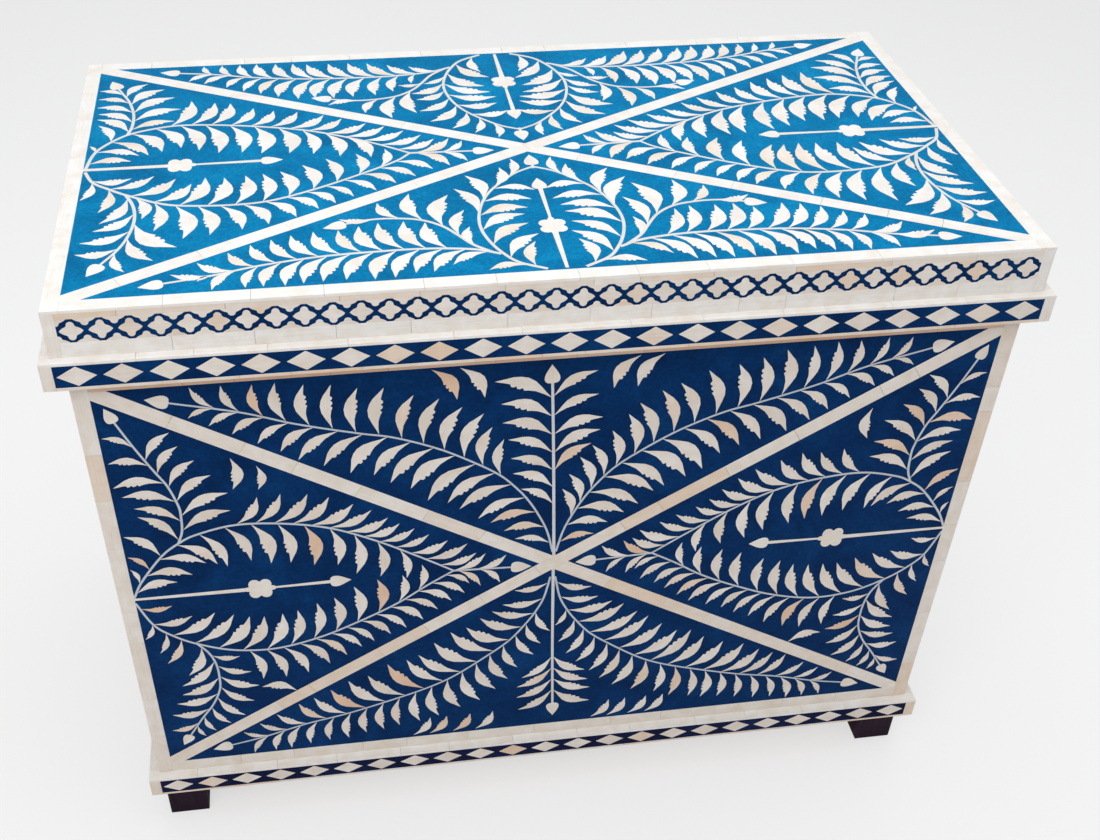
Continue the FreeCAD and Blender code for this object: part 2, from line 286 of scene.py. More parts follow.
def bone_finish(name, colours):
    """Polished bone: every cut piece has its own tone, and its grain follows its length."""
    finish, tree, shader = new_finish(name)
    tone = add_node(tree, "Attribute", "Fac", {}, attribute_name="tone")
    grain = add_node(tree, "UVMap", "UV", {}, uv_map="grain")
    apart = add_node(tree, "VectorMath", "Vector", {0: (17.3, 9.1, 5.7), "Scale": tone}, operation="SCALE")
    moved = add_node(tree, "VectorMath", "Vector", {0: grain, 1: apart}, operation="ADD")
    places = [
        add_node(tree, "Mapping", "Vector", {"Vector": moved, "Scale": scale})
        for scale in ((1, 1, 1), (22, 520, 1), (90, 2300, 1))]
    blotches = cloud(tree, places[0], 45.0, 4.0, 0.6, 0.4)
    streaks = cloud(tree, places[1], 1.0, 3.0, 0.6)
    pores = cloud(tree, places[2], 1.0, 2.0, 0.5)
    colour = shades(tree, tone, colours)
    colour = darkened(tree, colour, 0.8, blotches, [(0.3, (0.9, 0.84, 0.76)), (0.62, 1.0)])
    colour = darkened(tree, colour, 0.45, streaks, [(0.28, (0.88, 0.83, 0.77)), (0.58, 1.0)])
    colour = darkened(tree, colour, 0.6, pores, [(0.24, (0.62, 0.52, 0.42)), (0.34, 1.0)])
    roughness = shades(tree, streaks, [(0.25, 0.46), (0.75, 0.33)])
    surface(tree, shader, colour, roughness, [(blotches, 0.00012), (streaks, 0.00003), (pores, 0.00002)])
    return finish


# The darkest, orange end of the tones serves the few tan pieces and, as painted shade, the top rail under the
# moulding.
bone = bone_finish("polished_bone", [
    (0.0, (0.8, 0.735, 0.665)), (0.3, (0.85, 0.795, 0.735)), (0.62, (0.88, 0.84, 0.785)),
    (0.8, (0.85, 0.775, 0.7)), (0.9, (0.84, 0.69, 0.55)), (1.0, (0.81, 0.52, 0.35))])
# Painted light: a paler, cooler copy of the same bone for the lid, its tier and the ledges, standing in for
# the brighter light there, not a bleached bone.
painted_light_bone = bone_finish("polished_bone_painted_light", [
    (0.0, (0.88, 0.865, 0.845)), (0.62, (0.93, 0.922, 0.905)), (0.8, (0.9, 0.865, 0.825)),
    (0.9, (0.88, 0.78, 0.67)), (1.0, (0.84, 0.66, 0.5))])

# Direction to the right and direction up on each face, seen from outside
faces_of_chest = {
    "front": ((1, 0, 0), (0, 0, 1)),
    "right": ((0, 1, 0), (0, 0, 1)),
    "back": ((-1, 0, 0), (0, 0, 1)),
    "left": ((0, -1, 0), (0, 0, 1)),
    "top": ((1, 0, 0), (0, 1, 0)),
}
four_sides = ("front", "right", "back", "left")
cutting = bpy.data.meshes.new("cutting")


def face_frame(side, node):
    """The middle of one face of a node's box, x to the right, y up and z out, its half width and height."""
    low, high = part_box(node)
    right, up = (Vector(axis) for axis in faces_of_chest[side])
    out = right.cross(up)
    half = (high - low) / 2
    reach = [abs(half.dot(axis)) for axis in (right, up, out)]
    origin = (low + high) / 2 + out * reach[2]
    turned = Matrix((right, up, out)).transposed().to_4x4()
    return Matrix.Translation(origin) @ turned, reach[0], reach[1]


def new_layer():
    """An empty layer of bone, ready for pieces with a tone and a grain."""
    layer = bmesh.new()
    layer.faces.layers.float.new("tone")
    layer.loops.layers.uv.new("grain")
    return layer


def any_tone(most=0.96):
    """Most pieces are cream; about one in ten is peach or tan."""
    return min(pick.uniform(0.55, 1.0), most) if pick.random() < 0.25 else pick.uniform(0.0, 0.8)


def tones_from(low, high):
    """A way to pick pieces from one part of the range of tones."""
    return lambda: pick.uniform(low, high)


# Even pieces for the lid's border, pale ones for ledges and the foot of the body's border, beige to peach
# ones for its straps and uprights, warmer ones for end blocks and beads, and tan ones under the moulding as
# painted shade.
even_tone = tones_from(0.35, 0.68)
pale_tone = tones_from(0.46, 0.68)
warm_tone = tones_from(0.62, 0.91)
peach_tone = tones_from(0.8, 0.91)
# Painted shade: tan tones for the body's top rail, standing in for the shade and warm bounce light under the
# moulding.
painted_shade_tone = tones_from(0.94, 1.0)


def saw(piece, point, outward):
    """Saws off what lies outside of a straight line across a piece."""
    whole = piece.verts[:] + piece.edges[:] + piece.faces[:]
    bmesh.ops.bisect_plane(
        piece, geom=whole, dist=1e-7, plane_co=(*point, 0), plane_no=(*outward, 0), clear_outer=True)


def glue_down(layer, piece, on_face, face, tone, trims=(), ease=eased):
    """Marks a piece's grain along its own x, sets it on its face, saws it to its trims, eases its edges."""
    tones = piece.faces.layers.float["tone"]
    grain = piece.loops.layers.uv["grain"]
    for side in piece.faces:
        side[tones] = tone
        for corner in side.loops:
            corner[grain].uv = (corner.vert.co.x, corner.vert.co.y + corner.vert.co.z)
    bmesh.ops.transform(piece, matrix=on_face, verts=piece.verts[:])
    for trim in trims:
        saw(piece, *trim)
        open_edges = [edge for edge in piece.edges if edge.is_boundary]
        if open_edges:
            bmesh.ops.holes_fill(piece, edges=open_edges)
    rim = [edge for edge in piece.edges if max(abs(vert.co.z) for vert in edge.verts) < 1e-6]
    if rim:
        rub_down(piece, rim, ease, 1, clamped=True)
    bmesh.ops.transform(piece, matrix=face, verts=piece.verts[:])
    piece.to_mesh(cutting)
    piece.free()
    layer.from_mesh(cutting)


def lay_strip(layer, face, start, angle, length, width, trims=(), tones=any_tone):
    """A strip of bone in butted lengths, from a point of a face in one direction; its face is at z = 0."""
    count = max(1, round(length / usual_length))
    ends = [length * (place + pick.uniform(-0.3, 0.3)) / count for place in range(1, count)]
    ends = [0.0] + ends + [length]
    on_face = Matrix.Translation((*start, 0)) @ Matrix.Rotation(angle, 4, "Z")
    for near, far in zip(ends, ends[1:]):
        piece = new_layer()
        box_between(
            piece, (near + seam / 2, -width / 2, -bone_depth), (far - seam / 2, width / 2, 0))
        glue_down(layer, piece, on_face, face, tones(), trims)


def bone_piece(layer, name, body, *nodes, finish=bone):
    """Turns a finished layer into a piece that stands for its CAD nodes."""
    piece = finished(layer, name, finish, body)
    if nodes:
        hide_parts(*nodes)


upwards = math.pi / 2
panels = {}
for side in faces_of_chest:
    body, finish, stile_tones, foot_tones, head_tones = (
        ("lid", painted_light_bone, even_tone, even_tone, even_tone) if side == "top"
        else ("chest", bone, warm_tone, pale_tone, painted_shade_tone))
    face, outer_x, outer_y = face_frame(side, side + "_border")
    inner_x, inner_y = face_frame(side, side + "_field")[1:]
    panels[side] = (face, inner_x, inner_y, body)
    stile_width = outer_x - inner_x
    rail_width = outer_y - inner_y

    layer = new_layer()
    for x in (-1, 1):
        start = (x * (outer_x - stile_width / 2), -outer_y)
        lay_strip(layer, face, start, upwards, 2 * outer_y, stile_width, tones=stile_tones)
    start = (-inner_x, -outer_y + rail_width / 2)
    lay_strip(layer, face, start, 0, 2 * inner_x, rail_width, tones=foot_tones)
    marks = [-inner_x, inner_x]
    if side == "back":
        marks[1:1] = [
            place + reach for place in (-hinge_place, hinge_place) for reach in (-hinge_reach, hinge_reach)]
    for index, (near, far) in enumerate(zip(marks, marks[1:])):
        drop = leaf_seat if index % 2 else 0.0
        middle = outer_y - rail_width / 2 - drop / 2
        lay_strip(layer, face, (near, middle), 0, far - near, rail_width - drop, tones=head_tones)
    bone_piece(layer, side + "_border_bone", body, side + "_border", finish=finish)

    layer = new_layer()
    slope = math.atan2(inner_y, inner_x)
    reach = math.hypot(inner_x, inner_y)
    corners = [
        ((inner_x, 0), (1, 0)), ((-inner_x, 0), (-1, 0)), ((0, inner_y), (0, 1)), ((0, -inner_y), (0, -1))]
    lay_strip(layer, face, (-inner_x, -inner_y), slope, 2 * reach, strap_width, corners, stile_tones)
    for sign in (-1, 1):
        across = (sign * -inner_y / reach, sign * inner_x / reach)
        edge = tuple(share * (strap_width + seam) / 2 for share in across)
        butt = (edge, tuple(-share for share in across))
        angle = math.pi - slope if sign > 0 else -slope
        lay_strip(layer, face, (0, 0), angle, reach, strap_width, corners + [butt], stile_tones)
    bone_piece(layer, side + "_strap_bone", body, side + "_straps", finish=finish)


# Lid tier and moulding: bone strips round four sides, stiles and end blocks standing at the corners,
# flat ledges on top. Front and back run the full length and the ends fit between them.

stile_width = 0.012
ledge_block = 0.012
plinth_block = 0.013
lid_ledge_width = 0.013
plinth_ledge_width = 0.015


def ring_face(side, node):
    """One side of a ring of inlay: its frame, its half length and its half height."""
    face, half_length, half_height = face_frame(side, node)
    if side in ("left", "right"):
        half_length -= bone_depth
    return face, half_length, half_height


def ring_between(side, node, ends, inset):
    """The room of a strip between its corner pieces, in the plane of their faces."""
    face, _, half_height = ring_face(side, node)
    end_face, half_length, _ = ring_face(side, ends)
    out = face.col[2].to_3d()
    face.translation = face.translation + out * (end_face.translation - face.translation).dot(out)
    return face, half_length - inset, half_height


def lay_ring(node, name, body, inset, ends, tones=any_tone, finish=bone):
    """Strips round four sides, each as high as its node; inset leaves room for the corner pieces."""
    layer = new_layer()
    for side in four_sides:
        face, run, half_height = ring_between(side, node, ends, inset)
        lay_strip(layer, face, (-run, 0), 0, 2 * run, 2 * half_height, tones=tones)
    bone_piece(layer, name, body, node, finish=finish)


def lay_uprights(node, name, body, width, tones=any_tone, finish=bone):
    """The corner pieces at both ends of each side, one length each."""
    layer = new_layer()
    for side in four_sides:
        face, half_length, half_height = ring_face(side, node)
        for x in (-1, 1):
            start = (x * (half_length - width / 2), -half_height)
            lay_strip(layer, face, start, upwards, 2 * half_height, width, tones=tones)
    bone_piece(layer, name, body, node, finish=finish)


def lay_ledge(node, name, body, width):
    """Flat strips on top of a moulding, butted at the corners."""
    layer = new_layer()
    face, half_x, half_y = face_frame("top", node)
    for y in (-1, 1):
        lay_strip(layer, face, (-half_x, y * (half_y - width / 2)), 0, 2 * half_x, width, tones=pale_tone)
    for x in (-1, 1):
        start = (x * (half_x - width / 2), -half_y + width)
        lay_strip(layer, face, start, upwards, 2 * (half_y - width), width, tones=pale_tone)
    bone_piece(layer, name, body, node, finish=painted_light_bone)


lay_uprights("lid_stiles", "tier_stile_bone", "lid", stile_width, finish=painted_light_bone)
lay_ring("lid_lower_strips", "tier_lower_bone", "lid", stile_width, "lid_stiles", even_tone, painted_light_bone)
lay_ring("lid_upper_strips", "tier_upper_bone", "lid", stile_width, "lid_stiles", warm_tone)
lay_uprights("ledge_end_blocks", "moulding_block_bone", "lid", ledge_block)
lay_ring("ledge_beads", "moulding_bead_bone", "lid", ledge_block, "ledge_end_blocks", peach_tone)
lay_ledge("lid_ledge", "moulding_ledge_bone", "lid", lid_ledge_width)
lay_uprights("plinth_end_blocks", "plinth_block_bone", "chest", plinth_block, peach_tone)
lay_ring("plinth_beads", "plinth_bead_bone", "chest", plinth_block, "plinth_end_blocks", warm_tone)
lay_ledge("plinth_ledge", "plinth_ledge_bone", "chest", plinth_ledge_width)


# Diamonds: lozenges of bone in a row along the moulding and the plinth, points almost touching,
# each let into the resin of its band.

diamond_rows = (
    ("ledge_diamonds", "moulding_diamond_bone", "lid", ledge_block, "ledge_end_blocks",
     0.0425, 0.037, 0.022),
    ("plinth_diamonds", "plinth_diamond_bone", "chest", plinth_block, "plinth_end_blocks",
     0.042, 0.036, 0.0195),
)


def thicken(piece, faces, depth):
    """Gives flat faces their depth, downwards."""
    swept = bmesh.ops.extrude_face_region(piece, geom=faces)["geom"]
    lowered = [item for item in swept if isinstance(item, bmesh.types.BMVert)]
    bmesh.ops.translate(piece, verts=lowered, vec=(0, 0, -depth))
    bmesh.ops.recalc_face_normals(piece, faces=piece.faces[:])


def set_cut(layer, face, outline, size, depth, place, tone, trims=(), ease=eased):
    """Saws a piece from a sheet of bone along an outline drawn in unit size, and sets it on a face.
    Its place is x, y and the angle it is turned by."""
    piece = new_layer()
    sheet = piece.faces.new([piece.verts.new((x, y, 0)) for x, y in np.array(outline) * size])
    thicken(piece, [sheet], depth)
    x, y, angle = place
    on_face = Matrix.Translation((x, y, 0)) @ Matrix.Rotation(angle, 4, "Z")
    glue_down(layer, piece, on_face, face, tone, trims, ease)


for node, name, body, block_width, ends, pitch, across, up in diamond_rows:
    layer = new_layer()
    for side in four_sides:
        face = ring_face(side, node)[0]
        run = ring_face(side, ends)[1] - block_width
        count = round(2 * run / pitch)
        for index in range(count):
            x = 2 * run * (index + 0.5) / count - run
            lozenge = ((-0.5, 0), (0, -0.5), (0.5, 0), (0, 0.5))
            set_cut(layer, face, lozenge, (across, up), bone_depth, (x, 0, 0), any_tone())
    bone_piece(layer, name, body, node)


# Chain: quatrefoils of bone in the tier's band, and half ones between them against the strips above
# and below, so that the resin between is left as a chain. They are set in the wet resin.

foil_pitch = 0.0268
foil_tip = 0.0112
foil_lobe = 0.0038
foil_centre = 0.0063
foil_depth = 0.0012
foil_ease = 0.00015
foil_play = 0.0002
half_foil_shares = (0.93, 0.74)


def mirrored(points, x, y):
    return [(across * x, up * y) for across, up in points]


# The upper right quarter, from its pointed tip to the top of its lobe
quarter = [(foil_tip, 0.0), (0.0094, 0.002), (0.0072, 0.0036), (0.0052, 0.0044), (0.0045, 0.005)] + [
    (foil_lobe * math.cos(angle), foil_centre + foil_lobe * math.sin(angle))
    for angle in map(math.radians, (-4, 22, 50, 74))]
upper_half = quarter + [(0.0, foil_centre + foil_lobe)] + mirrored(quarter[::-1], -1, 1)
lower_half = mirrored(upper_half, -1, -1)
whole_foil = upper_half + lower_half[1:-1]
layer = new_layer()
for side in four_sides:
    face, run, half_height = ring_between(side, "lid_chain_band", "lid_stiles", stile_width)
    count = round(2 * run / foil_pitch)
    for index in range(count):
        place = (2 * run * (index + 0.5) / count - run, pick.uniform(-foil_play, foil_play), 0)
        set_cut(layer, face, whole_foil, 1, foil_depth, place, any_tone(0.9), ease=foil_ease)
    for index in range(count + 1):
        x = 2 * run * index / count - run
        trims = [((run, 0), (1, 0)), ((-run, 0), (-1, 0))] if index in (0, count) else ()
        for half_foil, y in ((upper_half, -half_height), (lower_half, half_height)):
            set_cut(
                layer, face, half_foil, half_foil_shares, foil_depth, (x, y, 0), any_tone(0.9), trims,
                foil_ease)
bone_piece(layer, "chain_foil_bone", "lid")


# Foliage: leaves, buds and flowers sawn from thin bone with a fretsaw, and stems of narrow slips,
# all set in the wet resin. Each leaf is cut as large as its room between strap, stem and neighbour.

leaf_outline = (
    (0, 0), (0.15, -0.04), (0.3, -0.055), (0.42, -0.022), (0.49, 0.018), (0.525, -0.046), (0.565, 0.012),
    (0.61, 0.022), (0.64, -0.042), (0.68, 0.014), (0.72, 0.016), (0.75, -0.048), (0.83, -0.038),
    (0.92, -0.014), (1, 0), (0.94, -0.068), (0.86, -0.152), (0.76, -0.265), (0.64, -0.345), (0.52, -0.375),
    (0.38, -0.335), (0.24, -0.22), (0.11, -0.095))
bud_half = [
    (0.0, 0.09), (0.02, 0.21), (0.09, 0.3), (0.22, 0.345), (0.38, 0.33), (0.55, 0.265), (0.72, 0.17),
    (0.88, 0.07)]
bud_outline = [(1.0, 0.0)] + mirrored(bud_half[::-1], 1, -1) + bud_half
flower_quarter = [
    (0.62, 0.0), (0.6, 0.075), (0.53, 0.115), (0.44, 0.125), (0.455, 0.25), (0.41, 0.39), (0.32, 0.475),
    (0.2, 0.5), (0.09, 0.465), (0.02, 0.39)]
flower_outline = (
    flower_quarter + mirrored(flower_quarter[::-1], -1, 1)
    + mirrored(flower_quarter[1:], -1, -1) + mirrored(flower_quarter[:0:-1], 1, -1))
bud_length = 0.0235
spray_bud_length = 0.0195
flower_size = 0.028
leaf_depth = 0.001
leaf_ease = 0.00018
root_aside = 0.0008
room_cell = 0.0007
clearance = 0.0021


def within(points, outline):
    """Which of these points lie inside a closed outline."""
    x, y = points[:, 0], points[:, 1]
    inside = np.zeros(len(points), bool)
    for (x0, y0), (x1, y1) in zip(outline, np.roll(outline, -1, axis=0)):
        if y0 != y1:
            beside = x < (x1 - x0) * (y - y0) / (y1 - y0) + x0
            inside ^= ((y0 > y) != (y1 > y)) & beside
    return inside


def along_outline(outline, step):
    """Points at short steps along a closed outline."""
    points = []
    for start, end in zip(outline, np.roll(outline, -1, axis=0)):
        count = max(1, int(math.dist(start, end) / step))
        points += [start + (end - start) * index / count for index in range(count)]
    return np.array(points)


def leaf_footprints(step=0.011, margin=0.036, root=0.16):
    """Points along a leaf's edge past its root, and points that fill the leaf and a margin round it."""
    outline = np.array(leaf_outline)
    edge = along_outline(outline, 0.025)
    x, y = np.meshgrid(np.arange(-0.05, 1.06, step), np.arange(-0.44, 0.1, step))
    spots = np.c_[x.ravel(), y.ravel()]
    gaps = np.hypot(spots[:, None, 0] - edge[None, :, 0], spots[:, None, 1] - edge[None, :, 1]).min(axis=1)
    return edge[edge[:, 0] > root], spots[within(spots, outline) | (gaps < margin)]


leaf_edge, leaf_fill = leaf_footprints()


def distances(line):
    """How far along a line each of its points lies."""
    return np.r_[0, np.cumsum(np.hypot(*np.diff(line, axis=0).T))]


def flowing_line(points, step=0.002):
    """A smooth line through given points, at even steps."""
    marks = np.vstack([2 * points[0] - points[1], points, 2 * points[-1] - points[-2]])
    line = []
    for a, b, c, d in zip(marks, marks[1:], marks[2:], marks[3:]):
        for t in np.arange(0, 1, 0.05):
            line.append(0.5 * (
                2 * b + (c - a) * t + (2 * a - 5 * b + 4 * c - d) * t * t + (3 * b - a - 3 * c + d) * t ** 3))
    line = np.array(line + [points[-1]])
    gone = distances(line)
    even = np.linspace(0, gone[-1], max(2, int(gone[-1] / step) + 1))
    return np.c_[np.interp(even, gone, line[:, 0]), np.interp(even, gone, line[:, 1])]


def leaf_size(leaf):
    """Length and width of a leaf; the width is below zero on one hand."""
    return leaf["size"], leaf["size"] * leaf["fat"] * leaf["hand"]


class Panel:
    """A panel while its foliage is laid out: a fine grid remembers what each spot holds.
    Places are given in thousandths of the half panel, gaps and lengths of leaves in millimetres."""

    def __init__(self, half_width, half_height, seed, fat=0.63, left_stretch=1.0, right_stretch=1.0):
        self.half = np.array((half_width, half_height))
        self.fat, self.left_stretch, self.right_stretch = fat, left_stretch, right_stretch
        self.cells = (2 * self.half / room_cell).astype(int) + 1
        y, x = np.mgrid[0:self.cells[1], 0:self.cells[0]]
        x, y = x * room_cell - half_width, y * room_cell - half_height
        self.room = np.zeros(x.shape, np.int32)
        for sign in (1, -1):
            away = abs(x * half_height - sign * y * half_width) / math.hypot(half_width, half_height)
            self.room[away < strap_width / 2 + clearance] = -1
        self.room[(abs(x) > half_width - clearance) | (abs(y) > half_height - clearance)] = -1
        self.chance = random.Random(seed)
        self.stems, self.leaves, self.buds, self.flowers = [], [], [], []

    def spots(self, points):
        cells = np.round((points + self.half) / room_cell).astype(int)
        known = ((cells >= 0) & (cells < self.cells)).all(axis=1)
        return cells[known, 1], cells[known, 0], known.all()

    def take(self, points, owner):
        rows, columns, _ = self.spots(points)
        free = self.room[rows, columns] == 0
        self.room[rows[free], columns[free]] = owner

    def laid(self, outline, leaf):
        """An outline drawn on a unit leaf, in the leaf's place and size."""
        points = outline * leaf_size(leaf)
        cos, sin = math.cos(leaf["angle"]), math.sin(leaf["angle"])
        return np.c_[
            leaf["x"] + cos * points[:, 0] - sin * points[:, 1],
            leaf["y"] + sin * points[:, 0] + cos * points[:, 1]]

    def stem(self, points, root_width=0.0024, tip_width=0.002, tone=0.35, spread=0.0011):
        """A stem along some places; gives its line and its mark on the grid."""
        line = flowing_line(np.array(points) / 1000 * self.half)
        owner = -10 - len(self.stems)
        self.stems.append((line, root_width, tip_width, tone))
        for dx in (-2, -1, 0, 1, 2):
            for dy in (-2, -1, 0, 1, 2):
                self.take(line + np.array((dx, dy)) * spread, owner)
        return line, owner

    def disc(self, x, y, radius):
        step = np.arange(-radius, radius + room_cell, room_cell)
        dx, dy = np.meshgrid(step, step)
        inside = np.hypot(dx, dy) <= radius
        self.take(np.c_[dx[inside] + x, dy[inside] + y], -3)

    def bud(self, stem, length=bud_length, middle=0.35, radius=0.39):
        """A bud at the end of a stem, pointing on; its room is a disc, given as shares of its length."""
        line = stem[0]
        x, y = line[-1]
        angle = math.atan2(*(line[-1] - line[-4])[::-1])
        self.buds.append((x, y, angle, length))
        self.disc(
            x + math.cos(angle) * length * middle, y + math.sin(angle) * length * middle, length * radius)

    def flower(self, x, y, angle=0.0, radius=0.52):
        x, y = np.array((x, y)) / 1000 * self.half
        self.flowers.append((x, y, angle))
        self.disc(x, y, flower_size * radius)

    def rows(self, stem, hand, rows, look=0.003):
        """Rows of leaves on a stem, hand 1 where the outside of its triangle is on its left. A row is its
        side (1 for outside), start and end in thousandths of the stem, gap, then lengths and leans."""
        line, owner = stem
        gone = distances(line)
        for side, start, end, gap, lengths, leans in rows:
            side, start, end = side * hand, start / 1000, end / 1000
            for share in np.linspace(0, 1, round(gone[-1] * (end - start) / (gap / 1000)) + 1):
                at = gone[-1] * (start + (end - start) * share)
                here, ahead, behind = (
                    np.array([np.interp(place, gone, line[:, axis]) for axis in (0, 1)])
                    for place in (at, at + look, at - look))
                way = math.atan2(*(ahead - behind)[::-1])
                most, lean = (
                    np.interp(share, np.linspace(0, 1, len(values)), values)
                    for values in (np.array(lengths) / 1000, leans))
                turn = lean + self.chance.uniform(-3, 3)
                most *= self.left_stretch if here[0] < 0 else self.right_stretch
                aside = side * root_aside
                self.leaves.append({
                    "x": here[0] - aside * math.sin(way), "y": here[1] + aside * math.cos(way),
                    "angle": way + side * math.radians(turn), "hand": side, "stem": owner,
                    "fat": self.fat * self.chance.uniform(0.91, 1.09),
                    "most": most * self.chance.uniform(0.98, 1.08)})

    def loose_leaf(self, x, y, angle, hand, length, fat=0.8):
        """A leaf with no stem, to fill a bare place."""
        angle = math.radians(angle)
        length /= 1000
        x, y = np.array((x, y)) / 1000 * self.half
        self.leaves.append({
            "x": x - math.cos(angle) * length / 2, "y": y - math.sin(angle) * length / 2, "angle": angle,
            "hand": hand, "stem": 0, "fat": fat, "most": length})

    def tries(self, owner, leaf, size):
        """Grows a leaf to a size, if its edge then meets only itself and its own stem."""
        was = leaf.get("size")
        leaf["size"] = size
        rows, columns, known = self.spots(self.laid(leaf_edge, leaf))
        fits = known and np.isin(self.room[rows, columns], (0, owner, leaf["stem"])).all()
        if fits:
            self.take(self.laid(leaf_fill, leaf), owner)
        else:
            leaf["size"] = was
        return fits

    def grow(self, first_shares=(0.55, 0.45, 0.36, 0.28), further=0.05):
        """Every leaf starts small, or is left out, and grows until it nears something else."""
        growing = [
            (owner, leaf) for owner, leaf in enumerate(self.leaves, 1)
            if any(self.tries(owner, leaf, leaf["most"] * share) for share in first_shares)]
        self.leaves = [leaf for owner, leaf in growing]
        while growing:
            growing = [
                (owner, leaf) for owner, leaf in growing
                if self.tries(owner, leaf, min(leaf["most"], leaf["size"] + leaf["most"] * further))
                and leaf["size"] < leaf["most"]]


def side_loops(panel, loops, joint, tail_bud, tail_rows, flower, inner_bud, spine, slip, twig_bud):
    """The two end triangles of a panel: a pointed loop with a flower on its axis, and two corner sprays."""
    for x in (1, -1):
        for y, loop, loop_rows, spray, spray_rows in loops:
            panel.rows(panel.stem(mirrored(loop, x, 1), **slip), x * y, loop_rows)
            twig = panel.stem(mirrored(spray, x, 1), **slip)
            panel.rows(twig, x * y, spray_rows)
            panel.bud(twig, twig_bud)
        tail = panel.stem([(joint * x, 4), (tail_bud * x, -6)], **slip)
        panel.rows(tail, x, tail_rows)
        panel.bud(tail)
        panel.stem([(-1000 * x, 0), (flower * x, 0)], *spine[:2], 1.0)
        axis = panel.stem([(flower * x, 0), (inner_bud * x, 4)], *spine[2:], 1.0)
        panel.flower(flower * x, 0)
        panel.bud(axis)


front_loops = (
    (1, [(-1000, 8), (-975, 92), (-919, 216), (-877, 273), (-836, 309), (-745, 343), (-637, 330),
         (-532, 287), (-432, 206), (-334, 104), (-245, 4)],
     ((1, 55, 167, 23.6, (30, 34, 46), (50, 80, 92)),
      (1, 390, 957, 19.9, (42, 49, 50, 44, 38, 42, 54), (54, 54, 46, 44, 50, 54, 54)),
      (-1, 20, 830, 28.6, (44, 46, 52, 62, 56, 55, 43), (52, 62, 80, 70, 72, 62, 50))),
     [(-877, 273), (-864, 330), (-860, 404), (-861, 457), (-877, 557), (-899, 631), (-930, 740),
      (-961, 862)],
     ((1, 30, 805, 26.5, (51, 50, 50, 36), (72, 62, 66, 40)),
      (-1, 110, 690, 19.5, (54, 52, 43, 41), (57, 64, 62, 65)))),
    (-1, [(-1000, -20), (-969, -149), (-930, -218), (-877, -277), (-792, -333), (-691, -347),
          (-585, -308), (-486, -239), (-386, -152), (-308, -62), (-245, 4)],
     ((1, 90, 185, 19.5, (30, 32, 41), (55, 70, 80)),
      (1, 374, 975, 19.4, (50, 50, 43, 40, 44, 40, 40), (70, 71, 60, 66, 62, 66, 62)),
      (-1, 25, 886, 28, (32, 56, 60, 56, 55, 51, 38), (74, 71, 68, 66, 68, 60, 48))),
     [(-877, -277), (-852, -340), (-840, -411), (-838, -486), (-842, -560), (-864, -649), (-899, -735),
      (-936, -835)],
     ((1, 46, 860, 26, (52, 51, 46, 34), (60, 62, 58, 40)),
      (-1, 150, 890, 19, (32, 48, 44, 30), (60, 66, 64, 52)))))
front_tail_rows = (
    (1, 20, 420, 26, (41, 38), (36, 31)),
    (-1, 80, 460, 26, (36, 32), (46, 42)))
high_frond = [
    (-4, 60), (-20, 174), (-43, 266), (-69, 346), (-99, 415), (-135, 480), (-188, 545), (-274, 631),
    (-373, 701), (-456, 736), (-585, 798), (-698, 867), (-843, 930)]
high_frond_rows = (
    (1, 30, 915, 25.8, (40, 57, 66, 58, 57, 50, 41), (66, 80, 74, 69, 57, 52, 38)),
    (-1, 276, 910, 24.3, (48, 57, 56, 57, 53, 47, 38), (54, 78, 84, 82, 71, 58, 38)))
near_middle_row = ((-1, 110, 240, 21, (42, 46), (42, 60)),)
low_frond = [
    (-6, -80), (-20, -196), (-39, -272), (-63, -340), (-102, -428), (-155, -507), (-245, -620),
    (-321, -684), (-426, -745), (-532, -798), (-637, -837), (-751, -895), (-836, -927)]
low_frond_rows = (
    (1, 20, 905, 25.3, (40, 55, 63, 62, 58, 46, 39), (66, 78, 76, 70, 60, 54, 36)),
    (-1, 120, 905, 21.3, (37, 45, 55, 50, 45, 42, 36), (54, 73, 76, 71, 72, 64, 40)))
high_middle_rows = (
    (1, 330, 925, 24.3, (50, 51, 56, 60), (52, 62, 66, 62)),
    (-1, 525, 930, 25, (50, 53, 52), (50, 74, 62)))
low_middle_rows = [(side, 635, 980, 21.2, (49, 52, 54), (51, 61, 51)) for side in (1, -1)]


def upright_panel(side, seed):
    """The foliage of the front, which the back and the two ends repeat."""
    panel = Panel(*panels[side][1:3], seed)
    side_loops(
        panel, front_loops, -245, -105, front_tail_rows, -707.5, -542,
        (0.0032, 0.0056, 0.002, 0.0044), {"root_width": 0.0026, "tip_width": 0.0022, "tone": 0.4},
        spray_bud_length)
    high_middle = panel.stem([(0, 30), (-12, 500), (-24, 895)], 0.0036, 0.0029, 0.6)
    panel.rows(high_middle, 1, high_middle_rows)
    low_middle = panel.stem([(0, -30), (8, -450), (18, -865)], 0.0036, 0.0029, 0.6)
    panel.rows(low_middle, 1, low_middle_rows)
    panel.bud(high_middle)
    panel.bud(low_middle)
    for x in (1, -1):
        for y, line, rows in ((1, high_frond, high_frond_rows), (-1, low_frond, low_frond_rows)):
            frond = panel.stem(mirrored(line, x, 1))
            panel.rows(frond, x * y, rows)
            panel.bud(frond)
            if (x, y) == (-1, 1):
                panel.rows(frond, x * y, near_middle_row)
        panel.loose_leaf(-736 * x, 592, -90 - 2 * x, -x, 42)
        panel.loose_leaf(-694 * x, -594, 90 + 73 * x, x, 42)
    panel.loose_leaf(-681, 564, -92, -1, 32)
    for across, hand in ((-261, -1), (-200, -1), (142, 1), (196, 1)):
        panel.loose_leaf(across, 922, -90 - 33 * hand, hand, 47)
    for across in (-335, -291, -228, -167, 150, 195, 253, 300):
        panel.loose_leaf(across, -933, 54, 1, 37)
    panel.grow()
    return panel


